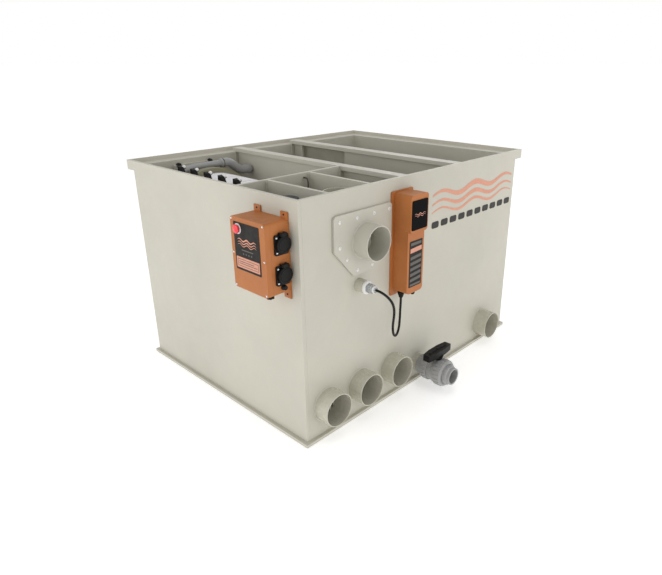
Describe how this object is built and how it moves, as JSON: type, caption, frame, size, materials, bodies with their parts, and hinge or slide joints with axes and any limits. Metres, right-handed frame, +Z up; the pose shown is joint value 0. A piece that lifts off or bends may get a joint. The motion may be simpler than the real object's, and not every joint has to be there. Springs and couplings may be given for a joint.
{
  "type": "pond drum filter tank",
  "caption": "Open plastic pond filter tank with a turning drum screen, media and outlet chambers, pipe stubs, drain valve, UV lamp and two electric boxes.",
  "frame": {"origin": "centre of the base plate's underside, under the middle of the four walls", "axes": "+Z up, -Y out of the front wall with the control box, +X out of the right wall with the pipe stubs"},
  "size_m": [1.109, 1.307, 0.777],
  "materials": {
    "tank_plastic": "satin sheet polypropylene, welded",
    "grey_pvc": "smooth grey PVC",
    "black_plastic": "fine-grained black plastic",
    "orange_housing": "moulded orange housing, fine grain",
    "white_plastic": "white plastic and mesh",
    "red_button": "glossy red",
    "drum_plastic": "olive sheet plastic",
    "steel": "turned stainless steel",
    "quartz": "clear quartz",
    "lamp_glass": "frosted lamp tube"
  },
  "bodies": {
    "root": {"base_plate": "tank_plastic", "front_wall": "tank_plastic", "right_wall": "tank_plastic", "left_wall": "tank_plastic", "back_wall": "tank_plastic", "rim_flange": "tank_plastic", "drum_partition": "tank_plastic", "media_partition": "tank_plastic", "bay_partition": "tank_plastic", "bay_divider_front": "tank_plastic", "bay_divider_rear": "tank_plastic", "inlet_stub_front": "tank_plastic", "inlet_stub_middle": "tank_plastic", "inlet_stub_rear": "tank_plastic", "outlet_stub": "tank_plastic", "flange_plate": "tank_plastic", "drain_pipe": "tank_plastic", "uv_collar": "tank_plastic", "drum_bracket": "tank_plastic", "waste_tee": "tank_plastic", "waste_trough": "grey_pvc", "valve_body": "grey_pvc", "valve_inner_nut": "grey_pvc", "valve_outer_nut": "grey_pvc", "valve_spigot": "grey_pvc", "spray_bar": "grey_pvc", "feed_pipe": "grey_pvc", "float_stem": "grey_pvc", "uv_cable": "black_plastic", "cable_gland": "black_plastic", "controller_display": "black_plastic", "socket_upper": "black_plastic", "socket_lower": "black_plastic", "gear_motor": "black_plastic", "rinse_pump": "black_plastic", "spray_nozzle_1": "black_plastic", "spray_nozzle_2": "black_plastic", "spray_nozzle_3": "black_plastic", "spray_nozzle_4": "black_plastic", "spray_nozzle_5": "black_plastic", "controller_back": "orange_housing", "controller_cover": "orange_housing", "control_box_base": "orange_housing", "control_box_lid": "orange_housing", "uv_lock_nut": "white_plastic", "drum_bearing_ring": "white_plastic", "quartz_sleeve": "quartz", "uv_seal": "quartz", "uv_lamp": "lamp_glass"},
    "drum": {"drum_frame": "drum_plastic", "drum_gear": "drum_plastic", "drum_axle": "drum_plastic", "drum_screen": "white_plastic"},
    "pinion": {"drive_pinion": "steel"},
    "valve_key": {"valve_handle": "black_plastic", "valve_ball": "grey_pvc"},
    "cap_upper": {"socket_cap_upper": "black_plastic"},
    "cap_lower": {"socket_cap_lower": "black_plastic"},
    "stop_knob": {"stop_button": "red_button"},
    "float": {"float_ring": "white_plastic"}
  },
  "joints": [
    {"name": "drum_spin", "type": "hinge", "parent": "root", "child": "drum", "pos_m": [-0.15, -0.3535, 0.535], "axis": [1, 0, 0], "continuous": true},
    {"name": "pinion_spin", "type": "hinge", "parent": "root", "child": "pinion", "pos_m": [-0.332, -0.5231, 0.67731], "axis": [1, 0, 0], "continuous": true},
    {"name": "valve_turn", "type": "hinge", "parent": "root", "child": "valve_key", "pos_m": [0.538, -0.0295, 0.12], "axis": [0, 0, 1], "range_deg": [0, 90]},
    {"name": "cap_upper_flip", "type": "hinge", "parent": "root", "child": "cap_upper", "pos_m": [0.4223, -0.6125, 0.689], "axis": [0, -1, 0], "range_deg": [0, 100], "stiffness_Nm_per_rad": 0.01},
    {"name": "cap_lower_flip", "type": "hinge", "parent": "root", "child": "cap_lower", "pos_m": [0.4223, -0.6125, 0.601], "axis": [0, -1, 0], "range_deg": [0, 100], "stiffness_Nm_per_rad": 0.01},
    {"name": "stop_press", "type": "slide", "parent": "root", "child": "stop_knob", "axis": [0, 1, 0], "range_m": [0, 0.004], "stiffness_N_per_m": 500},
    {"name": "float_rise", "type": "slide", "parent": "root", "child": "float", "axis": [0, 0, 1], "range_m": [0, 0.03]}
  ],
  "couplings": [
    {"joint": "pinion_spin", "follows": "drum_spin", "ratio": -7.2}
  ]
}
